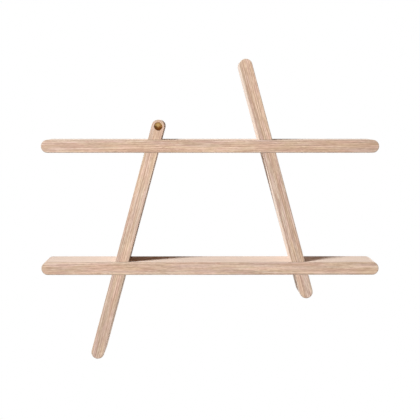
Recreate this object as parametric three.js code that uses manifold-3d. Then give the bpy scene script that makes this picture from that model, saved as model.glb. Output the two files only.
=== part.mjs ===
// A wall-hung shelf of four oak boards: two level shelves and two uprights that lean towards each other.
// Each upright crosses each shelf in a halving joint. The shelf is slotted from the back and the upright
// is notched from the front, each to half its depth, so that the front edges of the shelves run through.
// A low domed brass button is set into the left upright's front edge, near its top, and two keyhole plates
// in the upper shelf's back edge hang the whole on two wall screws.
//
// Everything is drawn as it is seen from the front, in millimetres: x to the right, y up and z out of
// the wall. The last lines turn the whole so that +Z is up and the wall is the plane y = 0, with the
// front facing -Y. The origin is the middle of the upper shelf's back edge.

import * as THREE from "three";
import { mergeVertices, toCreasedNormals } from "three/addons/utils/BufferGeometryUtils.js";
import Module from "manifold-3d";

// ---- Driving dimensions, in millimetres and degrees ----

// Boards
const SHELF_LENGTH = 520;
const BOARD_THICKNESS = 20;
const BOARD_DEPTH = 120;
const EDGE_EASING = 1;
const SHELF_SPACING = 188.2; // between the two shelves' centre lines

// Uprights. An overhang runs along the upright, from a shelf's centre line to the upright's tip.
const LEAN = 15;
const UPPER_CROSSING_SPREAD = 176.4; // between the uprights' centre lines, at the upper shelf
const LEFT_TOP_OVERHANG = 41.8;
const LEFT_BOTTOM_OVERHANG = 144.4;
const RIGHT_TOP_OVERHANG = 138.6;
const RIGHT_BOTTOM_OVERHANG = 47.6;

// Brass button: a domed head that lies on the wood, and a spigot that is glued into it
const BUTTON_DIAMETER = 12.4;
const BUTTON_RIM_THICKNESS = 0.6;
const BUTTON_DOME_HEIGHT = 2.4;
const SPIGOT_DIAMETER = 5;
const SPIGOT_LENGTH = 12;
const SPIGOT_CHAMFER = 0.5;

// Keyhole plates and their screws
const HANGER_INSET = 60; // from a shelf's tip to its keyhole
const PLATE_LENGTH = 42;
const PLATE_HEIGHT = 15;
const PLATE_THICKNESS = 2;
const PLATE_SETBACK = 0.2; // how far the plate's face lies below the board's back edge
const KEYHOLE_DIAMETER = 7.5;
const KEYHOLE_SLOT_WIDTH = 4.4;
const KEYHOLE_TRAVEL = 5.5; // from the round hole's centre up to the end of the slot
const POCKET_DEPTH = 10; // room for the wall screw's head, measured from the board's back edge
const POCKET_SPARE = 0.25; // the pocket is this much wider than the round hole, all round
const SCREW_SPACING = 28;
const SCREW_DIAMETER = 3;
const SCREW_HEAD_DIAMETER = 6;
const SCREW_LENGTH = 16;
const SCREW_RECESS_WIDTH = 0.9;
const SCREW_RECESS_SPAN = 3;
const SCREW_RECESS_DEPTH = 1;

// Clearances, on each side
const JOINT_GAP = 0.25; // between a board and the slot that it sits in
const HARDWARE_GAP = 0.3; // round plates, screws and the button

// How finely round shapes are cut
const END_STEPS = 16;
const EASING_STEPS = 2;
const TURNED_STEPS = 24;
const DOME_STEPS = 6;
const CUT_OVERSHOOT = 5; // how far a cutter runs past the face that it cuts through

// ---- Sizes that follow from them ----

const lean = THREE.MathUtils.degToRad(LEAN);
const along = SHELF_SPACING / Math.cos(lean); // between the two crossings of one upright
const plateFloor = PLATE_SETBACK + PLATE_THICKNESS;
const keyholeHeight = KEYHOLE_DIAMETER / 2 + KEYHOLE_TRAVEL + KEYHOLE_SLOT_WIDTH / 2;
const keyholeY = (KEYHOLE_DIAMETER - keyholeHeight) / 2; // the round hole's centre, on a plate
const slotEndY = keyholeY + KEYHOLE_TRAVEL;
const headHeight = (SCREW_HEAD_DIAMETER - SCREW_DIAMETER) / 2; // a 90 degree countersunk head

// ---- Materials ----

const oak = { color: 0xd8bca4, roughness: 0.62, metalness: 0 };
const brass = { color: 0xb5892f, roughness: 0.25, metalness: 1 };
const zinc = { color: 0xb9bcc0, roughness: 0.4, metalness: 1 };

// ---- Joining and cutting ----

const wasm = await Module();
wasm.setup();

function toSolid(geometry) {
  const bare = geometry.clone();
  bare.deleteAttribute("normal");
  bare.deleteAttribute("uv");
  const merged = mergeVertices(bare);
  const vertProperties = new Float32Array(merged.attributes.position.array);
  const triVerts = new Uint32Array(merged.index.array);
  return new wasm.Manifold(new wasm.Mesh({ numProp: 3, vertProperties, triVerts }));
}

function toGeometry(solid) {
  const mesh = solid.getMesh();
  const geometry = new THREE.BufferGeometry();
  geometry.setAttribute("position", new THREE.BufferAttribute(mesh.vertProperties, 3));
  geometry.setIndex(new THREE.BufferAttribute(mesh.triVerts, 1));
  return geometry;
}

function cut(geometry, cutters) {
  const solid = cutters.reduce((left, cutter) => left.subtract(toSolid(cutter)), toSolid(geometry));
  return toGeometry(solid);
}

// ---- Outlines and turned shapes ----

// A strip with round ends, standing on end from y = low to y = high
function strip(low, high, width) {
  const radius = width / 2;
  const outline = new THREE.Shape();
  outline.absarc(0, high - radius, radius, 0, Math.PI, false);
  outline.absarc(0, low + radius, radius, Math.PI, 2 * Math.PI, false);
  outline.closePath();
  return outline;
}

// The round hole with the slot that rises out of it
function keyhole() {
  const radius = KEYHOLE_DIAMETER / 2;
  const slotRadius = KEYHOLE_SLOT_WIDTH / 2;
  const mouth = Math.acos(slotRadius / radius);
  const outline = new THREE.Shape();
  outline.absarc(0, keyholeY, radius, mouth, Math.PI - mouth, true);
  outline.absarc(0, slotEndY, slotRadius, Math.PI, 0, true);
  outline.closePath();
  return outline;
}

function plain(depth) {
  return { depth, bevelEnabled: false, curveSegments: END_STEPS };
}

// A hole bored along z, from z = from to z = to
function bored(diameter, x, y, from, to) {
  const radius = diameter / 2;
  const hole = new THREE.CylinderGeometry(radius, radius, to - from, TURNED_STEPS);
  hole.rotateX(Math.PI / 2);
  return hole.translate(x, y, (from + to) / 2);
}

// A turned piece: its profile is given as [distance from the axis, place along z]
function turned(profile) {
  const points = profile.map(([radius, place]) => new THREE.Vector2(radius, place));
  return new THREE.LatheGeometry(points, TURNED_STEPS).rotateX(Math.PI / 2);
}

// ---- Boards ----

// A board is drawn standing on end and then turned by its angle, which is 0 for a vertical board
function board(name, angle, low, high, x, y) {
  const placement = new THREE.Matrix4().makeRotationZ(angle).setPosition(x, y, 0);
  return { name, angle, low, high, x, y, placement };
}

function uprightBoard(name, side, bottomOverhang, topOverhang) {
  const x = (side * UPPER_CROSSING_SPREAD) / 2;
  return board(name, side * lean, -along - bottomOverhang, topOverhang, x, 0);
}

const LEFT = -1;
const RIGHT = 1;
const half = SHELF_LENGTH / 2;
const shelves = [
  board("upper_shelf", -Math.PI / 2, -half, half, 0, 0),
  board("lower_shelf", -Math.PI / 2, -half, half, 0, -SHELF_SPACING),
];
const uprights = [
  uprightBoard("left_upright", LEFT, LEFT_BOTTOM_OVERHANG, LEFT_TOP_OVERHANG),
  uprightBoard("right_upright", RIGHT, RIGHT_BOTTOM_OVERHANG, RIGHT_TOP_OVERHANG),
];

function blank({ low, high }) {
  const geometry = new THREE.ExtrudeGeometry(strip(low, high, BOARD_THICKNESS), {
    depth: BOARD_DEPTH - 2 * EDGE_EASING,
    bevelThickness: EDGE_EASING,
    bevelSize: EDGE_EASING,
    bevelOffset: -EDGE_EASING,
    bevelSegments: EASING_STEPS,
    curveSegments: END_STEPS,
  });
  return geometry.translate(0, 0, EDGE_EASING);
}

// The room that one board takes out of another where they cross, from z = from to z = to
function crossingCutter(cutBoard, otherBoard, from, to) {
  const width = BOARD_THICKNESS + 2 * JOINT_GAP;
  const bar = new THREE.BoxGeometry(width, otherBoard.high - otherBoard.low, to - from);
  bar.translate(0, (otherBoard.high + otherBoard.low) / 2, (from + to) / 2);
  bar.applyMatrix4(otherBoard.placement);
  return bar.applyMatrix4(cutBoard.placement.clone().invert());
}

// Shelves are slotted from the back
function shelfSlots(shelf) {
  const bottom = (BOARD_DEPTH + JOINT_GAP) / 2;
  return uprights.map((upright) => crossingCutter(shelf, upright, -CUT_OVERSHOOT, bottom));
}

// Uprights are notched from the front
function uprightNotches(upright) {
  const bottom = (BOARD_DEPTH - JOINT_GAP) / 2;
  return shelves.map((shelf) => crossingCutter(upright, shelf, bottom, BOARD_DEPTH + CUT_OVERSHOOT));
}

// ---- Keyhole plates, let into the upper shelf's back edge ----

const hangers = [
  { name: "left", side: LEFT, x: LEFT * (half - HANGER_INSET) },
  { name: "right", side: RIGHT, x: RIGHT * (half - HANGER_INSET) },
];
const screwPlaces = [
  { name: "outer", x: SCREW_SPACING / 2 },
  { name: "inner", x: -SCREW_SPACING / 2 },
];

function lyingStrip(length, width, depth) {
  const geometry = new THREE.ExtrudeGeometry(strip(-length / 2, length / 2, width), plain(depth));
  return geometry.rotateZ(Math.PI / 2);
}

// The wall screw's head slides up in this pocket, behind the plate
function headPocket() {
  const width = KEYHOLE_DIAMETER + 2 * POCKET_SPARE;
  const outline = strip(keyholeY - width / 2, slotEndY + width / 2, width);
  const pocket = new THREE.ExtrudeGeometry(outline, plain(POCKET_DEPTH + CUT_OVERSHOOT));
  return pocket.translate(0, 0, -CUT_OVERSHOOT);
}

// All that is cut into the shelf for one plate, in front-view places
function hangerCutters({ x, side }) {
  const gap = 2 * HARDWARE_GAP;
  const recessDepth = plateFloor + HARDWARE_GAP;
  const recess = lyingStrip(PLATE_LENGTH + gap, PLATE_HEIGHT + gap, recessDepth + CUT_OVERSHOOT);
  recess.translate(x, 0, -CUT_OVERSHOOT);
  const pilotEnd = PLATE_SETBACK + SCREW_LENGTH + HARDWARE_GAP;
  const pilots = screwPlaces.map((screw) => {
    return bored(SCREW_DIAMETER + gap, x + side * screw.x, 0, 0, pilotEnd);
  });
  return [recess, headPocket().translate(x, 0, 0), ...pilots];
}

// A countersunk seat that opens at the plate's back face, which is z = 0 on the plate
function countersink(x) {
  const wide = SCREW_HEAD_DIAMETER / 2 + HARDWARE_GAP;
  const narrow = SCREW_DIAMETER / 2 + HARDWARE_GAP;
  const seat = [
    [0, -CUT_OVERSHOOT],
    [wide, -CUT_OVERSHOOT],
    [wide, 0],
    [narrow, headHeight],
    [narrow, PLATE_THICKNESS + CUT_OVERSHOOT],
    [0, PLATE_THICKNESS + CUT_OVERSHOOT],
  ];
  return turned(seat).translate(x, 0, 0);
}

function plateGeometry() {
  const plate = lyingStrip(PLATE_LENGTH, PLATE_HEIGHT, PLATE_THICKNESS);
  const opening = new THREE.ExtrudeGeometry(keyhole(), plain(PLATE_THICKNESS + 2 * CUT_OVERSHOOT));
  opening.translate(0, 0, -CUT_OVERSHOOT);
  return cut(plate, [opening, ...screwPlaces.map((screw) => countersink(screw.x))]);
}

// A countersunk wood screw with a crossed recess, its head at z = 0 and its tip at z = SCREW_LENGTH
function screwGeometry() {
  const radius = SCREW_DIAMETER / 2;
  const profile = [
    [0, 0],
    [SCREW_HEAD_DIAMETER / 2, 0],
    [radius, headHeight],
    [radius, SCREW_LENGTH - SCREW_DIAMETER],
    [0, SCREW_LENGTH],
  ];
  const depth = 2 * SCREW_RECESS_DEPTH;
  const wings = [
    new THREE.BoxGeometry(SCREW_RECESS_SPAN, SCREW_RECESS_WIDTH, depth),
    new THREE.BoxGeometry(SCREW_RECESS_WIDTH, SCREW_RECESS_SPAN, depth),
  ];
  return cut(turned(profile), wings);
}

// ---- Button, on the axis of the left upright's round top ----

// Drawn with z = 0 on the upright's front face
function buttonGeometry() {
  const head = BUTTON_DIAMETER / 2;
  const spigot = SPIGOT_DIAMETER / 2;
  const crown = BUTTON_RIM_THICKNESS + BUTTON_DOME_HEIGHT;
  const domeRadius = (head ** 2 + BUTTON_DOME_HEIGHT ** 2) / (2 * BUTTON_DOME_HEIGHT);
  const domeHalfAngle = Math.asin(head / domeRadius);
  const dome = [];
  for (let step = 1; step <= DOME_STEPS; step += 1) {
    const angle = domeHalfAngle * (1 - step / DOME_STEPS);
    dome.push([domeRadius * Math.sin(angle), crown - domeRadius * (1 - Math.cos(angle))]);
  }
  return turned([
    [0, -SPIGOT_LENGTH],
    [spigot - SPIGOT_CHAMFER, -SPIGOT_LENGTH],
    [spigot, SPIGOT_CHAMFER - SPIGOT_LENGTH],
    [spigot, HARDWARE_GAP],
    [head, HARDWARE_GAP],
    [head, BUTTON_RIM_THICKNESS],
    ...dome,
  ]);
}

function buttonPlace(upright) {
  return new THREE.Vector3(0, upright.high - BOARD_THICKNESS / 2, BOARD_DEPTH);
}

function spigotHole(upright) {
  const { x, y, z } = buttonPlace(upright);
  const end = z - SPIGOT_LENGTH - HARDWARE_GAP;
  return bored(SPIGOT_DIAMETER + 2 * HARDWARE_GAP, x, y, end, z + CUT_OVERSHOOT);
}

// ---- The assembly ----

const SHARP_ABOVE = Math.PI / 6; // edges that turn by more than this are shaded as edges

function piece(name, geometry, finish) {
  const material = new THREE.MeshStandardMaterial(finish);
  const mesh = new THREE.Mesh(toCreasedNormals(geometry, SHARP_ABOVE), material);
  mesh.name = name;
  return mesh;
}

function placedBoard(drawn, cutters) {
  const mesh = piece(drawn.name, cut(blank(drawn), cutters), oak);
  mesh.position.set(drawn.x, drawn.y, 0);
  mesh.rotation.z = drawn.angle;
  return mesh;
}

function buildBoards() {
  const [upper, lower] = shelves;
  const [left, right] = uprights;
  const toBoard = upper.placement.clone().invert();
  const hangerCuts = hangers.flatMap(hangerCutters).map((cutter) => cutter.applyMatrix4(toBoard));
  return [
    placedBoard(upper, [...shelfSlots(upper), ...hangerCuts]),
    placedBoard(lower, shelfSlots(lower)),
    placedBoard(left, [...uprightNotches(left), spigotHole(left)]),
    placedBoard(right, uprightNotches(right)),
  ];
}

function buildButton() {
  const [upright] = uprights;
  const button = piece("brass_button", buttonGeometry(), brass);
  button.position.copy(buttonPlace(upright).applyMatrix4(upright.placement));
  return button;
}

function buildHanger({ name, x, side }) {
  const hanger = new THREE.Group();
  hanger.position.set(x, 0, PLATE_SETBACK);
  hanger.add(piece(`${name}_hanger_plate`, plateGeometry(), zinc));
  for (const screw of screwPlaces) {
    const mesh = piece(`${name}_hanger_screw_${screw.name}`, screwGeometry(), zinc);
    mesh.position.x = side * screw.x;
    hanger.add(mesh);
  }
  return hanger;
}

const wallShelf = new THREE.Group();
wallShelf.add(...buildBoards(), buildButton(), ...hangers.map(buildHanger));
wallShelf.rotation.x = Math.PI / 2;

export default wallShelf;
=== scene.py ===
# A wall-hung shelf of four white-soaped oak boards with a domed brass button, in a plain pale studio.
# Places are in metres in the shelf's own frame: +X to the right as seen from the front, +Y into the
# wall and +Z up. Sizes are written in millimetres, times MM.

import math
from collections import namedtuple

import bmesh
import bpy
from mathutils import Euler, Matrix, Vector


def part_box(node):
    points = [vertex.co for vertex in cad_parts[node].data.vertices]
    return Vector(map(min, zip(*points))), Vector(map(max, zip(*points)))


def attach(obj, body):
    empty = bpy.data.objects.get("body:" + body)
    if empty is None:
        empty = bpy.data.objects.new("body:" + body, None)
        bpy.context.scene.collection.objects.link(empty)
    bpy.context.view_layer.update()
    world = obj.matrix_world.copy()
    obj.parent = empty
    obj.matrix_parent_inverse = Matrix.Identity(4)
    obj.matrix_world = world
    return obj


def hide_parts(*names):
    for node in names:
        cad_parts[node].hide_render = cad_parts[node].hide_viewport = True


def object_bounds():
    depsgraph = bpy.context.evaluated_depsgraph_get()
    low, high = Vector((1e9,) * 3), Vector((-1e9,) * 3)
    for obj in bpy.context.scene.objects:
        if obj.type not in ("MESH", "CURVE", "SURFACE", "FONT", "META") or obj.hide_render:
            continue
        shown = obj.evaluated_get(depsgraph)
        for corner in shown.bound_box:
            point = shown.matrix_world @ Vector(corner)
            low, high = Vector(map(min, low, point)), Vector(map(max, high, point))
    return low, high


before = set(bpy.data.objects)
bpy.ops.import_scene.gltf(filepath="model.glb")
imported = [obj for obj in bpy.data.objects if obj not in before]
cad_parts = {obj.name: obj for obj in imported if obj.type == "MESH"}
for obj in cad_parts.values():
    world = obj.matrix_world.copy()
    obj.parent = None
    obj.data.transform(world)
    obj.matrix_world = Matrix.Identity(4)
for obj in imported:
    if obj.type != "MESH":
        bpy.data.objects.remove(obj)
cad_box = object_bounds()

MM = 0.001

# ---- Sizes, in millimetres ----

THICKNESS = 20
DEPTH = 120
EASING = 1  # the radius of a board's long edges
GLUE_LINE = 0.05  # between a glued part and the one that it sits in, on each side
OVERSHOOT = 5  # how far a cutter runs past the face that it cuts through

BUTTON_DIAMETER = 12.4
BUTTON_DOME_HEIGHT = 2.4
BUTTON_RIM_RADIUS = 0.25  # the rim's back edge is rounded
SPIGOT_DIAMETER = 5
SPIGOT_CHAMFER = 0.5

KEYHOLE_DIAMETER = 7.5
KEYHOLE_SLOT_WIDTH = 4.4
KEYHOLE_TRAVEL = 5.5
PLATE_EASING = 0.25
RECESS_SPARE = 0.3  # between a plate and its recess, all round
POCKET_WIDTH = 8
POCKET_DEPTH = 10

SCREW_DIAMETER = 3
SCREW_HEAD_CHAMFER = 0.1
SCREW_POINT_LENGTH = 3
SCREW_POINT_RADIUS = 0.1
SCREW_RECESS_WIDTH = 0.9
SCREW_RECESS_SPAN = 3.2
SCREW_RECESS_DEPTH = 1.1
THREAD_PITCH = 1.3
THREAD_DEPTH = 0.45
THREAD_CREST = 0.15  # the flat on top of the thread
THREAD_FOOT = 0.5  # the flat at the bottom of the groove
THREAD_SPARE = 0.05  # how far the groove's cutter stands out of the shank
PLAIN_NECK = 2.5  # the shank has no thread this close to the head
SEAT_SPARE = 0.15  # between a screw's head and its seat
PILOT_DIAMETER = 3.4
PILOT_SPARE = 0.5  # between a screw's point and the end of its hole

# How finely round shapes are cut
END_STEPS = 16
EASING_STEPS = 4
TURNED_STEPS = 96
FILLET_STEPS = 6
DOME_STEPS = 20
SMALL_STEPS = 48
THREAD_STEPS = 24

SAME_POINT = 1e-4  # mm, and points closer than this are merged
FACES_ALONG = 0.9  # a face with this much of its normal along an axis counts as square to it
SHARP_ABOVE = math.radians(35)


# ---- Meshes ----

def srgb(code):
    """A hex colour such as "D5B8A0" as the linear values that a shader wants"""
    shares = [int(code[place:place + 2], 16) / 255 for place in (0, 2, 4)]
    linear = [c / 12.92 if c <= 0.04045 else ((c + 0.055) / 1.055) ** 2.4 for c in shares]
    return (*linear, 1.0)


def make_object(name, shape):
    """Turns a bmesh into an object at the origin"""
    bmesh.ops.recalc_face_normals(shape, faces=shape.faces)
    mesh = bpy.data.meshes.new(name)
    shape.to_mesh(mesh)
    shape.free()
    made = bpy.data.objects.new(name, mesh)
    bpy.context.scene.collection.objects.link(made)
    return made


def box(length, depth, thickness):
    """A plain block, centred on the origin, in mm"""
    shape = bmesh.new()
    bmesh.ops.create_cube(shape, size=1.0)
    bmesh.ops.scale(shape, vec=(length, depth, thickness), verts=shape.verts)
    return shape


def round_ended_bar(length, depth, thickness, easing=0.0):
    """A bar along X with half-round ends, its flat faces square to Y, centred on the origin, in mm"""
    shape = box(length, depth, thickness)
    across = [e for e in shape.edges if abs(e.verts[0].co.y - e.verts[1].co.y) > depth / 2]
    bmesh.ops.bevel(shape, geom=across, offset=thickness / 2, offset_type="OFFSET", affect="EDGES",
                    segments=END_STEPS, profile=0.5, material=-1)
    bmesh.ops.remove_doubles(shape, verts=shape.verts, dist=SAME_POINT)
    bmesh.ops.dissolve_degenerate(shape, edges=shape.edges, dist=SAME_POINT)
    if easing:
        rims = [e for e in shape.edges if any(abs(f.normal.y) > FACES_ALONG for f in e.link_faces)]
        bmesh.ops.bevel(shape, geom=rims, offset=easing, offset_type="OFFSET", affect="EDGES",
                        segments=EASING_STEPS, profile=0.5, material=-1)
    return shape


def arc(centre, radius, start, end, steps):
    """Points on an arc from one angle to another, in degrees"""
    angles = [math.radians(start + (end - start) * step / steps) for step in range(steps + 1)]
    return [(centre[0] + radius * math.cos(a), centre[1] + radius * math.sin(a)) for a in angles]


def turned(profile, steps=TURNED_STEPS):
    """Spins a profile of (distance from the axis, place along Y) points, in mm, about the Y axis"""
    shape = bmesh.new()
    points = [shape.verts.new((radius, place, 0)) for radius, place in profile]
    edges = [shape.edges.new(pair) for pair in zip(points, points[1:])]
    bmesh.ops.spin(shape, geom=points + edges, cent=(0, 0, 0), axis=(0, 1, 0), dvec=(0, 0, 0),
                   angle=2 * math.pi, steps=steps, use_merge=True, use_duplicate=False)
    bmesh.ops.remove_doubles(shape, verts=shape.verts, dist=SAME_POINT)
    return shape


def placed(name, shape, place, angle=0.0):
    """Turns a shape drawn in mm about Y by an angle, moves it to its place and makes it an object"""
    turn = Matrix.Rotation(angle, 4, "Y")
    move = Matrix.Translation(place) @ turn @ Matrix.Scale(MM, 4)
    bmesh.ops.transform(shape, matrix=move, verts=shape.verts)
    return make_object(name, shape)


def carve(piece, cutters):
    """Cuts the cutters out of a piece and throws them away"""
    for cutter in cutters:
        cut = piece.modifiers.new(cutter.name, "BOOLEAN")
        cut.object = cutter
        cut.operation = "DIFFERENCE"
        cut.solver = "EXACT"
    depsgraph = bpy.context.evaluated_depsgraph_get()
    carved = bpy.data.meshes.new_from_object(piece.evaluated_get(depsgraph))
    piece.modifiers.clear()
    piece.data = carved
    for cutter in cutters:
        bpy.data.objects.remove(cutter)


def finish_piece(piece, node, material):
    """Shades a piece's curves smooth and its edges sharp, and puts it in its node's place"""
    piece.data.shade_smooth()
    piece.data.set_sharp_from_angle(angle=SHARP_ABOVE)
    weighted = piece.modifiers.new("flat_faces_stay_flat", "WEIGHTED_NORMAL")
    weighted.keep_sharp = True
    piece.data.materials.clear()
    piece.data.materials.append(material)
    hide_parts(node)
    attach(piece, "root")


def middle(node):
    """The centre of a node's box"""
    low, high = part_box(node)
    return (low + high) / 2


def on_axis(node, depth):
    """The point of a turned node's axis at a place along Y"""
    point = middle(node)
    point.y = depth
    return point


# ---- Boards ----

Board = namedtuple("Board", "node centre length angle")


def read_board(node, leans_left=False):
    """A board's centre, length and angle to the level, from its place in the frame"""
    low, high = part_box(node)
    rounding = THICKNESS * MM / 2
    start = Vector((low.x + rounding, 0, low.z + rounding))
    end = Vector((high.x - rounding, 0, high.z - rounding))
    if leans_left:
        start.x, end.x = end.x, start.x
    line = end - start
    centre = (start + end) / 2 - Vector((0, DEPTH * MM / 2, 0))
    return Board(node, centre, line.length / MM + THICKNESS, math.atan2(line.z, line.x))


def crossing_cutter(board, front, back):
    """The room that a board takes in the ones it crosses, between two distances from the wall in mm"""
    width = THICKNESS + 2 * GLUE_LINE
    place = Vector((board.centre.x, -(front + back) / 2 * MM, board.centre.z))
    bar = box(board.length + 2 * OVERSHOOT, front - back, width)
    return placed(f"room_for_{board.node}", bar, place, -board.angle)


def make_board(board, cutters):
    """A board in its place, with its joints and holes cut"""
    bar = round_ended_bar(board.length, DEPTH, THICKNESS, EASING)
    piece = placed(f"{board.node}_board", bar, board.centre, -board.angle)
    carve(piece, cutters)
    finish_piece(piece, board.node, soaped_oak(board))


SHELVES = [read_board("upper_shelf"), read_board("lower_shelf")]
UPRIGHTS = [read_board("left_upright"), read_board("right_upright", leans_left=True)]
BOARD_FRONT = -DEPTH * MM


# ---- Materials ----

def add(tree, kind, sockets=None, stops=None, **settings):
    """Adds a node. sockets gives each input a value or another node's output, and stops fills a
    ramp, its two ends first."""
    node = tree.nodes.new("ShaderNode" + kind)
    for name, value in settings.items():
        setattr(node, name, value)
    for key, value in (sockets or {}).items():
        if isinstance(value, bpy.types.NodeSocket):
            tree.links.new(value, node.inputs[key])
        else:
            node.inputs[key].default_value = value
    for index, (place, colour) in enumerate(stops or []):
        elements = node.color_ramp.elements
        element = elements[index] if index < 2 else elements.new(place)
        element.position = place
        element.color = colour
    return node


def new_material(name):
    """An empty material, with its node tree"""
    material = bpy.data.materials.new(name)
    material.use_nodes = True
    material.node_tree.nodes.clear()
    return material, material.node_tree


def blend(tree, patterns, level=0.5):
    """The sum of patterns, each times its weight, kept around a level"""
    total = level - sum(weight for _, weight in patterns) / 2
    for pattern, weight in patterns:
        weighted = {0: pattern, 1: weight, 2: total}
        total = add(tree, "Math", weighted, operation="MULTIPLY_ADD").outputs[0]
    return total


def painted(tree, colour, layers):
    """A colour with layers over it, each a share from 0 to 1, how strong it gets, and its hex colour"""
    for share, strength, layer in layers:
        part = add(tree, "Math", {0: share, 1: strength}, operation="MULTIPLY").outputs[0]
        mixed = {"Factor": part, "A": colour, "B": srgb(layer)}
        colour = add(tree, "Mix", mixed, data_type="RGBA", blend_type="MIX").outputs["Result"]
    return colour


OakLook = namedtuple("OakLook", "shift pith tilt tone contrast")

# shift moves each board to its own stretch of timber. pith is where the tree's heart lay from the
# board's centre, across its depth and through its thickness, both in mm. tilt is the heart's slope in
# degrees, tone is how pale the board is, where one half is the middle, and contrast is how strongly its
# grain shows.
OAK_LOOKS = {
    "upper_shelf": OakLook(310, (38, -120), 0.6, 0.46, 1.1),
    "lower_shelf": OakLook(1240, (-70, 95), -0.9, 0.57, 1.15),
    "left_upright": OakLook(2170, (45, 130), 0.8, 0.51, 1.05),
    "right_upright": OakLook(3330, (-60, -110), -0.7, 0.52, 1.4),
}

# A streak's length is along the grain and its width across it, both in mm. Where it has a low and a
# high, the pattern is 0 where its noise is under the one, and 1 where it is over the other.
Streak = namedtuple("Streak", "length width detail low high", defaults=(None, None))
LONG_FIBRES = Streak(130, 1.3, 4.0)
MIDDLE_FIBRES = Streak(32, 1.3, 2.0)
SHORT_FIBRES = Streak(8, 1.2, 1.0)
BROAD_BANDS = Streak(200, 5.0, 2.0)
PATCHES = Streak(260, 60, 1.0)
STRAW_BANDS = Streak(110, 7.0, 2.0, 0.35, 0.65)
PINK_BANDS = Streak(42, 6.0, 2.0, 0.35, 0.65)
PORES = Streak(7, 0.4, 2.0, 0.58, 0.66)
RAY_FLECKS = Streak(15, 1.2, 1.0, 0.60, 0.74)
STREAK_ROUGHNESS = 0.62  # how strongly the finer part of each noise shows

# In mm
RING_WIDTH = 2.7
WANDER_LENGTH = 260
WANDER_WIDTH = 60
WANDER_REACH = 5
EDGE_GREYING_REACH = 2.0  # how far in from an edge the greying shows
EDGE_GREYING_FULL = 0.2  # and how near the edge it is full
PORE_BUMP = 0.12

# How far through its growth ring a layer of wood is, and how pale it is there
SPRING_WOOD = 0.38  # the porous share of each ring
SUMMER_WOOD = 0.53  # where the dense share has its full tone
LAST_PORES = 0.58  # where the pores have got as scarce as they get
SUMMER_PORES = 0.3  # how strong they still are there
RING_TONES = [(0.0, (0.2, 0.2, 0.2, 1)), (1.0, (0.72, 0.72, 0.72, 1)),
              (SPRING_WOOD, (0.4, 0.4, 0.4, 1)), (SUMMER_WOOD, (0.8, 0.8, 0.8, 1))]

# How much each pattern counts in the wood's tone and in its relief
TONE_WEIGHTS = {"long": 1.6, "middle": 1.15, "short": 0.9, "broad": 0.6, "rings": 0.4, "patches": 0.5}
RELIEF_WEIGHTS = {"long": 0.25, "short": 0.15, "pores": -1.0}

WOOD_COLOURS = [(0.15, srgb("AB8B74")), (1.0, srgb("E3CDBA")), (0.6, srgb("CAAF98"))]  # by tone
STRAW_HUES = ("F7FBFF", "FFFBF2")  # what the wood is multiplied by, outside the bands and in them
PINK_HUES = ("FFFFFA", "FFF6FD")
FLECK_PAINT = (0.45, "BC8A74")  # how strong it gets, and its colour
PORE_PAINT = (0.75, "8F6A4E")
EDGE_PAINT = (0.6, "A8947F")

OAK_ROUGHNESS = 0.72
PORE_ROUGHNESS = 0.1  # what the pores add to it


def streaks(tree, space, streak):
    """Streaks along X, as a pattern around one half, or from 0 to 1 where the streak has limits"""
    squeeze = (1 / streak.length, 1 / streak.width, 1 / streak.width)
    squeezed = add(tree, "Mapping", {"Vector": space, "Scale": squeeze}).outputs["Vector"]
    noise = {"Vector": squeezed, "Scale": 1.0, "Detail": streak.detail, "Roughness": STREAK_ROUGHNESS}
    pattern = add(tree, "TexNoise", noise).outputs["Fac"]
    if streak.low is None:
        return pattern
    levels = {"Value": pattern, "From Min": streak.low, "From Max": streak.high}
    return add(tree, "MapRange", levels, interpolation_type="SMOOTHSTEP").outputs["Result"]


def board_space(tree, board):
    """Places on a board in mm: X along it, Y across its depth and Z through it, from its centre"""
    turn = Euler((0, board.angle, 0))
    centre = board.centre.copy()
    centre.rotate(turn)
    where = add(tree, "TexCoord").outputs["Object"]
    move = {"Vector": where, "Location": -centre / MM, "Rotation": turn, "Scale": (1 / MM,) * 3}
    return add(tree, "Mapping", move).outputs["Vector"]


def timber_space(tree, space, look):
    """Board space moved to the board's own stretch of timber, where the grain wanders a little"""
    moved = add(tree, "Mapping", {"Vector": space, "Location": (look.shift, 0, 0)}).outputs["Vector"]
    squeeze = (1 / WANDER_LENGTH, 1 / WANDER_WIDTH, 1 / WANDER_WIDTH)
    squeezed = add(tree, "Mapping", {"Vector": moved, "Scale": squeeze}).outputs["Vector"]
    wander = add(tree, "TexNoise", {"Vector": squeezed, "Scale": 1.0, "Detail": 2.0}).outputs["Color"]
    centred = add(tree, "VectorMath", {0: wander, 1: (0.5, 0.5, 0.5)}, operation="SUBTRACT").outputs[0]
    reach = (0, WANDER_REACH, WANDER_REACH)
    drift = add(tree, "VectorMath", {0: centred, 1: reach}, operation="MULTIPLY").outputs[0]
    return add(tree, "VectorMath", {0: moved, 1: drift}, operation="ADD").outputs[0]


def growth_rings(tree, timber, look):
    """How far through its growth ring the wood is, from 0 where spring wood starts to 1"""
    depth, through = look.pith
    tilt = math.radians(look.tilt)
    heart = {"Vector": timber, "Location": (0, -depth, -through), "Rotation": (0, tilt, tilt)}
    tilted = add(tree, "Mapping", heart).outputs["Vector"]
    across = add(tree, "Mapping", {"Vector": tilted, "Scale": (0, 1, 1)}).outputs["Vector"]
    radius = add(tree, "VectorMath", {0: across}, operation="LENGTH").outputs["Value"]
    rings = add(tree, "Math", {0: radius, 1: RING_WIDTH}, operation="DIVIDE").outputs[0]
    return add(tree, "Math", {0: rings}, operation="FRACT").outputs[0]


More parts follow.
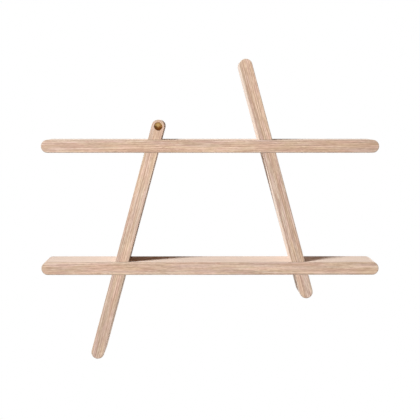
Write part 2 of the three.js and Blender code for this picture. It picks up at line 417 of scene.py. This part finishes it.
def oak_tones(tree, timber, ring, fibres, look):
    """The wood's colour, pale or deep by its fibres, its slow bands and its growth rings"""
    patterns = {
        "long": fibres["long"],
        "middle": streaks(tree, timber, MIDDLE_FIBRES),
        "short": fibres["short"],
        "broad": streaks(tree, timber, BROAD_BANDS),
        "rings": add(tree, "ValToRGB", {"Fac": ring}, stops=RING_TONES).outputs["Color"],
        "patches": streaks(tree, timber, PATCHES),
    }
    weighted = [(pattern, TONE_WEIGHTS[name] * look.contrast) for name, pattern in patterns.items()]
    tone = blend(tree, weighted, look.tone)
    return add(tree, "ValToRGB", {"Fac": tone}, stops=WOOD_COLOURS).outputs["Color"]


def tinted(tree, colour, share, hues):
    """A colour multiplied by the first hue where a share is 0, and by the second where it is 1"""
    ends = {"Factor": share, "A": srgb(hues[0]), "B": srgb(hues[1])}
    hue = add(tree, "Mix", ends, data_type="RGBA", blend_type="MIX").outputs["Result"]
    both = {"Factor": 1.0, "A": colour, "B": hue}
    return add(tree, "Mix", both, data_type="RGBA", blend_type="MULTIPLY").outputs["Result"]


def oak_pores(tree, timber, ring):
    """The open pores, thick in the spring wood and scarce in the summer wood"""
    dashes = streaks(tree, timber, PORES)
    levels = {"Value": ring, "From Min": SPRING_WOOD, "From Max": LAST_PORES,
              "To Min": 1.0, "To Max": SUMMER_PORES}
    porous = add(tree, "MapRange", levels).outputs["Result"]
    return add(tree, "Math", {0: dashes, 1: porous}, operation="MULTIPLY").outputs[0]


def oak_edges(tree, space, board):
    """1 on the eased edges round a board's front and back, and 0 further in than the greying reaches"""
    places = add(tree, "SeparateXYZ", {"Vector": space}).outputs
    sizes = [add(tree, "Math", {0: places[axis]}, operation="ABSOLUTE").outputs[0] for axis in "XY"]
    straight = (board.length - THICKNESS) / 2
    past = add(tree, "Math", {0: sizes[0], 1: straight}, operation="SUBTRACT").outputs[0]
    round_end = add(tree, "Math", {0: past, 1: 0.0}, operation="MAXIMUM").outputs[0]
    outward = add(tree, "CombineXYZ", {"X": round_end, "Z": places["Z"]}).outputs["Vector"]
    outline = add(tree, "VectorMath", {0: outward}, operation="LENGTH").outputs["Value"]
    gaps = []
    for place, size in ((sizes[1], DEPTH), (outline, THICKNESS)):
        gaps.append(add(tree, "Math", {0: place, 1: size / 2}, operation="SUBTRACT").outputs[0])
    nearest = add(tree, "Math", {0: gaps[0], 1: gaps[1]}, operation="MINIMUM").outputs[0]
    levels = {"Value": nearest, "From Min": -EDGE_GREYING_REACH, "From Max": -EDGE_GREYING_FULL}
    return add(tree, "MapRange", levels, interpolation_type="SMOOTHSTEP").outputs["Result"]


def soaped_oak(board):
    """Planed oak, fine sanded and washed with white soap. The soap leaves it pale and quite matt, with
    a bloom that catches the light at a low angle. Spring wood with its open pores reads as fine darker
    lines and summer wood as smooth, paler ones. The rays are short reddish flecks, and slow streaks run
    from pink to straw along the board. Its long edges are a little greyer."""
    look = OAK_LOOKS[board.node]
    material, tree = new_material(f"white_soaped_oak_{board.node}")
    space = board_space(tree, board)
    timber = timber_space(tree, space, look)
    ring = growth_rings(tree, timber, look)
    fibres = {"long": streaks(tree, timber, LONG_FIBRES), "short": streaks(tree, timber, SHORT_FIBRES)}
    colour = oak_tones(tree, timber, ring, fibres, look)
    colour = tinted(tree, colour, streaks(tree, timber, STRAW_BANDS), STRAW_HUES)
    colour = tinted(tree, colour, streaks(tree, timber, PINK_BANDS), PINK_HUES)
    pores = oak_pores(tree, timber, ring)
    flecks = streaks(tree, timber, RAY_FLECKS)
    edges = oak_edges(tree, space, board)
    marks = [(flecks, *FLECK_PAINT), (pores, *PORE_PAINT), (edges, *EDGE_PAINT)]
    colour = painted(tree, colour, marks)
    roughness = {0: pores, 1: PORE_ROUGHNESS, 2: OAK_ROUGHNESS}
    rough = add(tree, "Math", roughness, operation="MULTIPLY_ADD").outputs[0]
    raised = {**fibres, "pores": pores}
    relief = blend(tree, [(raised[name], weight) for name, weight in RELIEF_WEIGHTS.items()])
    bump = add(tree, "Bump", {"Height": relief, "Strength": 0.35, "Distance": PORE_BUMP * MM})
    shader = add(tree, "BsdfPrincipled", {
        "Base Color": colour, "Roughness": rough, "Normal": bump.outputs["Normal"], "IOR": 1.5,
        "Specular IOR Level": 0.1, "Sheen Weight": 0.62, "Sheen Roughness": 0.8,
        "Sheen Tint": srgb("FFF7EE")})
    add(tree, "OutputMaterial", {"Surface": shader.outputs["BSDF"]})
    return material


# In mm
TARNISH_SPOTS = 1.6
TURNING_LINES = 0.12
TURNING_BUMP = 0.02

# How much a cloudy tarnish pattern and the distance from the axis count in the brass's darkening, and
# its middle. The part that goes by distance from the axis is painted shade, darker towards the rim.
TARNISH_CLOUD = 1.0
RIM_PAINTED_SHADE = 0.8
TARNISH_AND_SHADE_MIDDLE = 0.3
TARNISH_AND_SHADE_START = 0.2  # the level at which the tarnish and the painted rim shade start to show
TARNISH_AND_SHADE_END = 0.8

BRASS_COLOUR = "C9A56C"
BRASS_ROUGHNESS = 0.36
TARNISH_AND_SHADE_PAINT = (1.0, "8E6230")  # how strong it gets, and its colour
TARNISH_ROUGHNESS = 0.1  # what tarnish adds to the brass's own


def tarnished_brass_with_rim_shade():
    """Brass bar turned on a lathe, satin polished and left bare. It has a cloudy warm brown tarnish,
    and painted shade that darkens it towards the rim to stand for the dark reflections on the dome's
    steep edge. It shows faint turning lines."""
    material, tree = new_material("turned_brass_with_tarnish_and_rim_shade")
    where = add(tree, "TexCoord").outputs["Object"]
    move = {"Vector": where, "Location": -middle("brass_button") / MM, "Scale": (1 / MM,) * 3}
    centred = add(tree, "Mapping", move).outputs["Vector"]
    flat = add(tree, "Mapping", {"Vector": centred, "Scale": (1, 0, 1)}).outputs["Vector"]
    radius = add(tree, "VectorMath", {0: flat}, operation="LENGTH").outputs["Value"]
    spots = {"Vector": centred, "Scale": 1 / TARNISH_SPOTS, "Detail": 4.0, "Roughness": 0.6}
    cloud = add(tree, "TexNoise", spots).outputs["Fac"]
    # Painted shade: the colour darkens with the distance from the axis, so the rim looks dark like the
    # reflections on the dome's steep edge
    outward = add(tree, "Math", {0: radius, 1: BUTTON_DIAMETER / 2}, operation="DIVIDE").outputs[0]
    tarnish_and_rim_shade_level = blend(tree, [(cloud, TARNISH_CLOUD), (outward, RIM_PAINTED_SHADE)], TARNISH_AND_SHADE_MIDDLE)
    levels = {"Value": tarnish_and_rim_shade_level, "From Min": TARNISH_AND_SHADE_START, "From Max": TARNISH_AND_SHADE_END}
    tarnish_and_rim_shade = add(tree, "MapRange", levels, interpolation_type="SMOOTHSTEP").outputs["Result"]
    # The tarnish colour carries both the cloudy tarnish and the painted rim shade
    colour = painted(tree, srgb(BRASS_COLOUR), [(tarnish_and_rim_shade, *TARNISH_AND_SHADE_PAINT)])
    lines = {"W": radius, "Scale": 1 / TURNING_LINES, "Detail": 1.0}
    turning = add(tree, "TexNoise", lines, noise_dimensions="1D").outputs["Fac"]
    roughness = {0: tarnish_and_rim_shade, 1: TARNISH_ROUGHNESS, 2: BRASS_ROUGHNESS}
    rough = add(tree, "Math", roughness, operation="MULTIPLY_ADD").outputs[0]
    bump = add(tree, "Bump", {"Height": turning, "Strength": 0.12, "Distance": TURNING_BUMP * MM})
    shader = add(tree, "BsdfPrincipled", {
        "Base Color": colour, "Metallic": 1.0, "Roughness": rough, "Normal": bump.outputs["Normal"]})
    add(tree, "OutputMaterial", {"Surface": shader.outputs["BSDF"]})
    return material


# In mm
ZINC_MOTTLE = 4
ZINC_GRIT = 0.35
ZINC_BUMP = 0.02

ZINC_COLOURS = [(0.3, srgb("B8BDC4")), (0.7, srgb("C6C5BD")), (0.5, srgb("C1C5CA"))]  # by mottle
ZINC_ROUGHNESS = 0.2
RUBBED_ROUGHNESS = 0.3  # what the mottle adds to it


def zinc_plate():
    """Steel with bright zinc plating: cool grey with a faint mottle of blue and straw, and dulled
    where it has been rubbed"""
    material, tree = new_material("bright_zinc_plated_steel")
    where = add(tree, "TexCoord").outputs["Object"]
    cloud = {"Vector": where, "Scale": 1 / (ZINC_MOTTLE * MM), "Detail": 3.0, "Roughness": 0.6}
    mottle = add(tree, "TexNoise", cloud).outputs["Fac"]
    colour = add(tree, "ValToRGB", {"Fac": mottle}, stops=ZINC_COLOURS).outputs["Color"]
    grit = {"Vector": where, "Scale": 1 / (ZINC_GRIT * MM), "Detail": 2.0}
    speckle = add(tree, "TexNoise", grit).outputs["Fac"]
    roughness = {0: mottle, 1: RUBBED_ROUGHNESS, 2: ZINC_ROUGHNESS}
    rough = add(tree, "Math", roughness, operation="MULTIPLY_ADD").outputs[0]
    bump = add(tree, "Bump", {"Height": speckle, "Strength": 0.15, "Distance": ZINC_BUMP * MM})
    shader = add(tree, "BsdfPrincipled", {
        "Base Color": colour, "Metallic": 1.0, "Roughness": rough, "Normal": bump.outputs["Normal"]})
    add(tree, "OutputMaterial", {"Surface": shader.outputs["BSDF"]})
    return material


brass = tarnished_brass_with_rim_shade()
zinc = zinc_plate()


# ---- Keyhole plates and their screws ----

SIDES = ("left", "right")
SCREWS = ("outer", "inner")
KEYHOLE_HEIGHT = KEYHOLE_DIAMETER / 2 + KEYHOLE_TRAVEL + KEYHOLE_SLOT_WIDTH / 2
KEYHOLE_Z = (KEYHOLE_DIAMETER - KEYHOLE_HEIGHT) / 2  # the round hole's centre, from the plate's
SLOT_END_Z = KEYHOLE_Z + KEYHOLE_TRAVEL


def upright_bar(name, plate, width, bottom, top, depth, back):
    """A round-ended cutter that stands on a plate's middle, its back face that far from the wall"""
    bar = round_ended_bar(top - bottom, depth, width)
    place = Vector((plate.x, -(back + depth / 2) * MM, plate.z + (top + bottom) / 2 * MM))
    return placed(name, bar, place, -math.pi / 2)


def pilot_cutter(side, screw):
    """The hole that a screw sits in, a little longer than the screw"""
    node = f"{side}_hanger_screw_{screw}"
    low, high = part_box(node)
    pilot = bmesh.new()
    bmesh.ops.create_cone(pilot, cap_ends=True, segments=SMALL_STEPS, radius1=PILOT_DIAMETER / 2,
                          radius2=PILOT_DIAMETER / 2, depth=(high.y - low.y) / MM + 2 * PILOT_SPARE)
    bmesh.ops.rotate(pilot, matrix=Matrix.Rotation(math.pi / 2, 3, "X"), verts=pilot.verts)
    return placed(f"{side}_{screw}_pilot", pilot, middle(node))


def hanger_cutters(side):
    """What is cut into the upper shelf's back edge for one plate"""
    node = f"{side}_hanger_plate"
    low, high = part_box(node)
    plate = middle(node)
    length = (high.x - low.x) / MM + 2 * RECESS_SPARE
    height = (high.z - low.z) / MM + 2 * RECESS_SPARE
    floor = -low.y / MM + RECESS_SPARE
    recess = round_ended_bar(length, floor + OVERSHOOT, height)
    place = Vector((plate.x, -(floor - OVERSHOOT) / 2 * MM, plate.z))
    cutters = [placed(f"{side}_recess", recess, place)]
    bottom = KEYHOLE_Z - POCKET_WIDTH / 2
    top = SLOT_END_Z + POCKET_WIDTH / 2
    cutters.append(upright_bar(f"{side}_pocket", plate, POCKET_WIDTH, bottom, top, POCKET_DEPTH, 0))
    return cutters + [pilot_cutter(side, screw) for screw in SCREWS]


def countersink(side, screw):
    """A seat for a screw's head, open at the plate's back"""
    node = f"{side}_hanger_screw_{screw}"
    low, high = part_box(node)
    head = (high.x - low.x) / 2 / MM + SEAT_SPARE
    shank = SCREW_DIAMETER / 2 + SEAT_SPARE
    seat = turned([(0, OVERSHOOT), (head, OVERSHOOT), (head, 0), (shank, shank - head),
                   (shank, -OVERSHOOT), (0, -OVERSHOOT)], SMALL_STEPS)
    return placed(f"{side}_{screw}_seat", seat, on_axis(node, high.y))


def make_plate(side):
    """A keyhole plate, let into the upper shelf's back edge"""
    node = f"{side}_hanger_plate"
    low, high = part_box(node)
    plate = middle(node)
    size = (high - low) / MM
    bar = round_ended_bar(size.x, size.y, size.z, PLATE_EASING)
    piece = placed(f"{side}_keyhole_plate", bar, plate)
    through = size.y + 2 * OVERSHOOT
    back = -high.y / MM - OVERSHOOT
    hole = KEYHOLE_DIAMETER / 2
    slot = KEYHOLE_SLOT_WIDTH / 2
    round_hole = turned([(0, -OVERSHOOT), (hole, -OVERSHOOT), (hole, OVERSHOOT), (0, OVERSHOOT)])
    cutters = [
        placed(f"{side}_keyhole", round_hole, plate + Vector((0, 0, KEYHOLE_Z * MM))),
        upright_bar(f"{side}_slot", plate, KEYHOLE_SLOT_WIDTH, KEYHOLE_Z - slot, SLOT_END_Z + slot,
                    through, back),
    ]
    cutters += [countersink(side, screw) for screw in SCREWS]
    carve(piece, cutters)
    finish_piece(piece, node, zinc)


def thread_groove(start, end):
    """The groove of a right-hand thread, wound about the Y axis from one place to another, in mm"""
    crest = SCREW_DIAMETER / 2
    foot = crest - THREAD_DEPTH
    rim = crest + THREAD_SPARE
    mouth = THREAD_PITCH - THREAD_CREST
    rim_width = mouth + (mouth - THREAD_FOOT) * THREAD_SPARE / THREAD_DEPTH
    corners = [(foot, THREAD_FOOT / 2), (foot, -THREAD_FOOT / 2),
               (rim, -rim_width / 2), (rim, rim_width / 2)]
    shape = bmesh.new()
    points = [shape.verts.new((radius, start + place, 0)) for radius, place in corners]
    section = shape.faces.new(points)
    turns = (start - end) / THREAD_PITCH
    steps = round(turns * THREAD_STEPS)
    bmesh.ops.spin(shape, geom=[*section.verts, *section.edges, section], cent=(0, 0, 0),
                   axis=(0, -1, 0), dvec=(0, (end - start) / steps, 0), angle=turns * 2 * math.pi,
                   steps=steps, use_merge=False, use_duplicate=False)
    return shape


def make_screw(side, screw):
    """A threaded countersunk wood screw with a crossed recess, its head towards the wall"""
    node = f"{side}_hanger_screw_{screw}"
    low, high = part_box(node)
    length = (high.y - low.y) / MM
    head = (high.x - low.x) / 2 / MM
    shank = SCREW_DIAMETER / 2
    neck = head - shank
    profile = [(0, 0), (head - SCREW_HEAD_CHAMFER, 0), (head, -SCREW_HEAD_CHAMFER),
               (shank, -neck - SCREW_HEAD_CHAMFER), (shank, SCREW_POINT_LENGTH - length),
               (SCREW_POINT_RADIUS, -length), (0, -length)]
    place = on_axis(node, high.y)
    piece = placed(f"{node}_turned", turned(profile, SMALL_STEPS), place)
    groove = thread_groove(-neck - PLAIN_NECK, -length - THREAD_PITCH)
    cutters = [placed(f"{node}_groove", groove, place)]
    for quarter in (0, 1):
        wing = box(SCREW_RECESS_SPAN, 2 * SCREW_RECESS_DEPTH, SCREW_RECESS_WIDTH)
        cutters.append(placed(f"wing_{quarter}", wing, place, quarter * math.pi / 2))
    carve(piece, cutters)
    finish_piece(piece, node, zinc)


# ---- Button ----

def make_button():
    """A domed head, whose rim lies close on the wood, and the spigot behind it"""
    low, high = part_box("brass_button")
    head = BUTTON_DIAMETER / 2
    spigot = SPIGOT_DIAMETER / 2
    crown = (BOARD_FRONT - low.y) / MM
    spigot_end = (BOARD_FRONT - high.y) / MM
    dome_radius = (head ** 2 + BUTTON_DOME_HEIGHT ** 2) / (2 * BUTTON_DOME_HEIGHT)
    dome_start = math.degrees(math.acos(head / dome_radius))
    rim_centre = (head - BUTTON_RIM_RADIUS, GLUE_LINE + BUTTON_RIM_RADIUS)
    profile = [(0, spigot_end), (spigot - SPIGOT_CHAMFER, spigot_end)]
    profile += [(spigot, spigot_end + SPIGOT_CHAMFER), (spigot, GLUE_LINE)]
    profile += arc(rim_centre, BUTTON_RIM_RADIUS, -90, 0, FILLET_STEPS)
    profile += arc((0, crown - dome_radius), dome_radius, dome_start, 90, DOME_STEPS)
    shape = turned([(radius, -place) for radius, place in profile])
    piece = placed("domed_brass_button", shape, on_axis("brass_button", BOARD_FRONT))
    finish_piece(piece, "brass_button", brass)


def spigot_cutter():
    """The hole for the button's spigot"""
    _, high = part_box("brass_button")
    end = (high.y - BOARD_FRONT) / MM + GLUE_LINE
    hole = SPIGOT_DIAMETER / 2 + GLUE_LINE
    bore = turned([(0, -OVERSHOOT), (hole, -OVERSHOOT), (hole, end), (0, end)], SMALL_STEPS)
    return placed("spigot_hole", bore, on_axis("brass_button", BOARD_FRONT))


# ---- The shelf ----

def build_boards():
    """The shelves, slotted half through from the back, and the uprights, notched from the front"""
    halfway = DEPTH / 2
    for shelf in SHELVES:
        cutters = [crossing_cutter(upright, halfway + GLUE_LINE, -OVERSHOOT) for upright in UPRIGHTS]
        if shelf.node == "upper_shelf":
            for side in SIDES:
                cutters += hanger_cutters(side)
        make_board(shelf, cutters)
    for upright in UPRIGHTS:
        cutters = [crossing_cutter(shelf, DEPTH + OVERSHOOT, halfway) for shelf in SHELVES]
        if upright.node == "left_upright":
            cutters.append(spigot_cutter())
        make_board(upright, cutters)


def build_hangers():
    """The two keyhole plates, each with its two screws"""
    for side in SIDES:
        make_plate(side)
        for screw in SCREWS:
            make_screw(side, screw)


build_boards()
make_button()
build_hangers()


# ---- Studio ----

CAMERA_PLACE = (-25.7, -3048, 47.6)  # mm
CAMERA_YAW = 0.499  # degrees to the right
CAMERA_PITCH = -2.847  # degrees
CAMERA_FOCAL_PIXELS = 1905
CAMERA_REACH = 50  # metres
PICTURE_PIXELS = 420
SENSOR = 36  # mm

FLOOR_LEVEL = -1500  # mm
FLOOR_RADIUS = 3200  # mm
FLOOR_FADE_START = 1500  # mm from the middle, where the floor starts to fade into the background
FLOOR_FADE_END = 3130  # mm
FLOOR_LIFT = 0.55  # how much it glows where it is seen, so that it shows nearly white
FLOOR_COLOUR = "E9E8E5"

FILL_COLOUR = "4A2F1A"  # a weak warm glow from all round
BACKGROUND_COLOUR = "FFFFFF"

# Each lamp is soft and square. Its bearing is to the left of the front and its height above the level,
# both in degrees. Its distance and size are in mm. Its level is what a surface that faces it gets,
# where 1 shows a colour as it is written. A mirrored lamp shows in reflections.
Lamp = namedtuple("Lamp", "name bearing height distance size level mirrored")
LAMPS = [
    Lamp("key", 35.5, 35, 3000, 600, 1.36, False),
    Lamp("side", -90, 0, 2500, 500, 0.5, True),
    Lamp("back", 180, -8, 2500, 500, 0.6, False),
]

CARD_RADIUS = 900  # mm
CARD_SWEEP = 210  # degrees
CARD_LENGTH = 2800  # mm
CARD_GAP = 60  # mm in front of the shelf
CARD_COLOUR = "8C6238"


def place_camera():
    """The camera, about 3 m in front of the shelf, as the photograph's perspective gives it"""
    camera = bpy.data.objects.new("camera", bpy.data.cameras.new("camera"))
    bpy.context.scene.collection.objects.link(camera)
    camera.data.sensor_width = SENSOR
    camera.data.lens = CAMERA_FOCAL_PIXELS * SENSOR / PICTURE_PIXELS
    camera.data.clip_end = CAMERA_REACH
    camera.location = Vector(CAMERA_PLACE) * MM
    camera.rotation_euler = (math.radians(90 + CAMERA_PITCH), 0, math.radians(-CAMERA_YAW))
    bpy.context.scene.camera = camera


def hang_lamp(plan):
    """A lamp aimed at the shelf's middle"""
    lamp = bpy.data.objects.new(plan.name, bpy.data.lights.new(plan.name, "AREA"))
    bpy.context.scene.collection.objects.link(lamp)
    lamp.data.size = plan.size * MM
    lamp.data.energy = plan.level * (math.pi * plan.distance * MM) ** 2
    across = math.radians(plan.bearing)
    up = math.radians(plan.height)
    level = math.cos(up)
    towards = Vector((-math.sin(across) * level, -math.cos(across) * level, math.sin(up)))
    target = (Vector(cad_box[0]) + Vector(cad_box[1])) / 2
    lamp.location = target + towards * plan.distance * MM
    lamp.rotation_euler = towards.to_track_quat("Z", "Y").to_euler()
    lamp.visible_camera = False
    lamp.visible_glossy = plan.mirrored


def seen_background(tree):
    """1 for rays that show the background itself, straight or in a mirror or a glass, and 0 for rays
    that gather light"""
    path = add(tree, "LightPath").outputs
    seen = path["Is Camera Ray"]
    for ray in ("Is Glossy Ray", "Is Transmission Ray"):
        seen = add(tree, "Math", {0: seen, 1: path[ray]}, operation="MAXIMUM").outputs[0]
    return seen


def light_world():
    """White as the background and in reflections, and a weak fill on the object"""
    world = bpy.data.worlds.new("studio")
    bpy.context.scene.world = world
    world.use_nodes = True
    tree = world.node_tree
    tree.nodes.clear()
    ends = {"Factor": seen_background(tree), "A": srgb(FILL_COLOUR), "B": srgb(BACKGROUND_COLOUR)}
    glow = add(tree, "Mix", ends, data_type="RGBA", blend_type="MIX").outputs["Result"]
    sky = add(tree, "Background", {"Color": glow, "Strength": 1.0})
    add(tree, "OutputWorld", {"Surface": sky.outputs["Background"]})


def floor_paint():
    """A matt pale grey that fades into the white background towards the floor's edge"""
    material, tree = new_material("pale_studio_floor")
    where = add(tree, "TexCoord").outputs["Object"]
    flat = add(tree, "Mapping", {"Vector": where, "Scale": (1, 1, 0)}).outputs["Vector"]
    radius = add(tree, "VectorMath", {0: flat}, operation="LENGTH").outputs["Value"]
    levels = {"Value": radius, "From Min": FLOOR_FADE_START * MM, "From Max": FLOOR_FADE_END * MM}
    fade = add(tree, "MapRange", levels, interpolation_type="SMOOTHSTEP").outputs["Result"]
    seen = seen_background(tree)
    lift = add(tree, "Math", {0: seen, 1: FLOOR_LIFT}, operation="MULTIPLY").outputs[0]
    paint = add(tree, "BsdfDiffuse", {"Color": srgb(FLOOR_COLOUR)})
    glow = add(tree, "Emission", {"Strength": lift})
    near = add(tree, "AddShader", {0: paint.outputs[0], 1: glow.outputs[0]})
    far = add(tree, "Emission", {"Strength": seen})
    whole = add(tree, "MixShader", {0: fade, 1: near.outputs[0], 2: far.outputs[0]})
    add(tree, "OutputMaterial", {"Surface": whole.outputs[0]})
    return material


def lay_floor():
    """A round pale floor far under the shelf"""
    disc = bmesh.new()
    bmesh.ops.create_circle(disc, cap_ends=True, segments=SMALL_STEPS, radius=FLOOR_RADIUS)
    floor = placed("floor", disc, Vector((0, 0, FLOOR_LEVEL * MM)))
    floor.data.materials.append(floor_paint())


def hang_card():
    """A dark card bent in a trough round the front of the shelf, open at the top and at its far end.
    Only reflections show it: it gives the polished brass its dark lower half and sides, and leaves the
    light and the background as they are."""
    edge = CARD_SWEEP / 2
    points = arc((0, 0), CARD_RADIUS, -90 - edge, -90 + edge, SMALL_STEPS)
    sheet = bmesh.new()
    rim = [sheet.verts.new((x, 0, z)) for x, z in points]
    lines = [sheet.edges.new(pair) for pair in zip(rim, rim[1:])]
    far = bmesh.ops.extrude_edge_only(sheet, edges=lines)["geom"]
    far_rim = [part for part in far if isinstance(part, bmesh.types.BMVert)]
    bmesh.ops.translate(sheet, vec=(0, -CARD_LENGTH, 0), verts=far_rim)
    button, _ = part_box("brass_button")
    card = placed("card", sheet, Vector((button.x, button.y - CARD_GAP * MM, button.z)))
    for ray in ("camera", "diffuse", "transmission", "volume_scatter", "shadow"):
        setattr(card, f"visible_{ray}", False)
    material, tree = new_material("dark_card")
    dye = add(tree, "BsdfDiffuse", {"Color": srgb(CARD_COLOUR)})
    add(tree, "OutputMaterial", {"Surface": dye.outputs["BSDF"]})
    card.data.materials.append(material)


place_camera()
light_world()
lay_floor()
hang_card()
for lamp_plan in LAMPS:
    hang_lamp(lamp_plan)
bpy.context.scene.view_settings.view_transform = "Standard"

bpy.context.view_layer.update()
